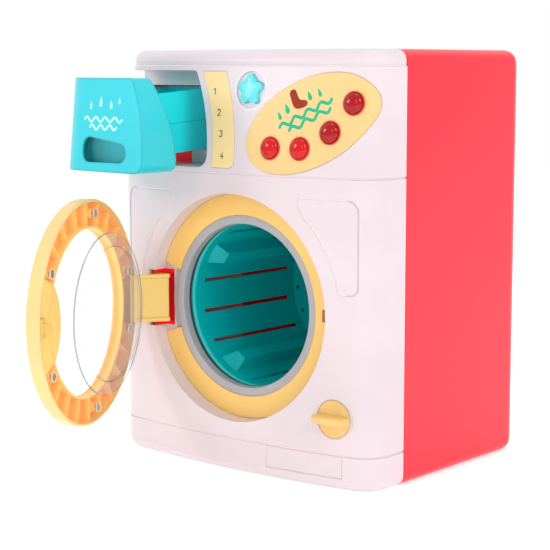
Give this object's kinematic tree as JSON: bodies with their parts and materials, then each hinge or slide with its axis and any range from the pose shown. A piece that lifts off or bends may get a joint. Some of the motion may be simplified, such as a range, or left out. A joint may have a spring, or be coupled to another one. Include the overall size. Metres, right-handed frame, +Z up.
{
  "type": "toy washing machine",
  "caption": "Toy front-loading washing machine with an opening round door, a side drawer, a slotted drum, a selector knob and a star-shaped start button.",
  "frame": {"origin": "centre of the footprint, on the floor", "axes": "+Z up, -Y out of the front with the round door, +X to the right seen from the front"},
  "size_m": [0.223, 0.323, 0.28],
  "materials": {
    "white_plastic": "smooth",
    "red_plastic": "smooth",
    "amber_plastic": "smooth",
    "cream_plastic": "smooth",
    "blue_plastic": "smooth",
    "teal_plastic": "smooth",
    "red_lens": "translucent",
    "grey_seal": "matte",
    "clear_plastic": "clear",
    "dark_plastic": "fine grain",
    "green_sleeve": "printed sleeve",
    "board": "lacquered board",
    "steel": "zinc plated",
    "brass": "turned"
  },
  "bodies": {
    "cabinet": {"front_housing": "white_plastic", "rear_housing": "red_plastic", "port_ring": "amber_plastic", "door_gasket": "grey_seal", "control_plate": "amber_plastic", "label_strip": "cream_plastic", "indicator_lenses": "red_lens", "indicator_leds": "red_lens", "plinth_panel": "white_plastic", "hinge_bracket": "red_plastic", "hinge_pin": "steel", "latch_catch": "red_plastic", "drum_bulkhead": "red_plastic", "drum_bearing": "brass", "motor": "steel", "motor_mount": "red_plastic", "battery_box": "dark_plastic", "battery_cover": "red_plastic", "batteries": "green_sleeve", "battery_contacts": "steel", "circuit_board": "board", "speaker": "dark_plastic", "power_switch": "dark_plastic", "selector_switch": "dark_plastic", "drawer_guide": "red_plastic", "housing_screws": "steel"},
    "door": {"door_ring": "amber_plastic", "door_window": "clear_plastic", "door_screws": "steel", "hinge_arm": "cream_plastic", "door_latch": "cream_plastic"},
    "drawer": {"drawer_front": "blue_plastic", "drawer_box": "teal_plastic", "drawer_screws": "steel"},
    "drum": {"drum_shell": "teal_plastic", "drum_back": "teal_plastic", "drum_shaft": "steel", "drum_gear": "white_plastic", "drum_screws": "steel"},
    "pinion": {"motor_pinion": "white_plastic"},
    "knob": {"selector_knob": "cream_plastic"},
    "button": {"star_button": "blue_plastic"}
  },
  "joints": [
    {"name": "door_hinge", "type": "hinge", "parent": "cabinet", "child": "door", "pos_m": [-0.09, -0.0775, 0.11], "axis": [0, 0, 1], "range_deg": [-12, 69]},
    {"name": "drawer_slide", "type": "slide", "parent": "cabinet", "child": "drawer", "axis": [0, 0.9978, 0.0663], "range_m": [-0.01, 0.06113]},
    {"name": "drum_spin", "type": "hinge", "parent": "cabinet", "child": "drum", "pos_m": [0, 0.045, 0.11], "axis": [0, 1, 0], "continuous": true},
    {"name": "pinion_spin", "type": "hinge", "parent": "cabinet", "child": "pinion", "pos_m": [0, 0.058, 0.0725], "axis": [0, 1, 0], "continuous": true},
    {"name": "knob_turn", "type": "hinge", "parent": "cabinet", "child": "knob", "pos_m": [0.0825, -0.0835, 0.0458], "axis": [0, 1, 0], "range_deg": [-90, 90]},
    {"name": "star_press", "type": "slide", "parent": "cabinet", "child": "button", "axis": [0, 0.9936, -0.1132], "range_m": [0, 0.0024], "stiffness_N_per_m": 300}
  ],
  "couplings": [
    {"joint": "pinion_spin", "follows": "drum_spin", "ratio": -4}
  ]
}
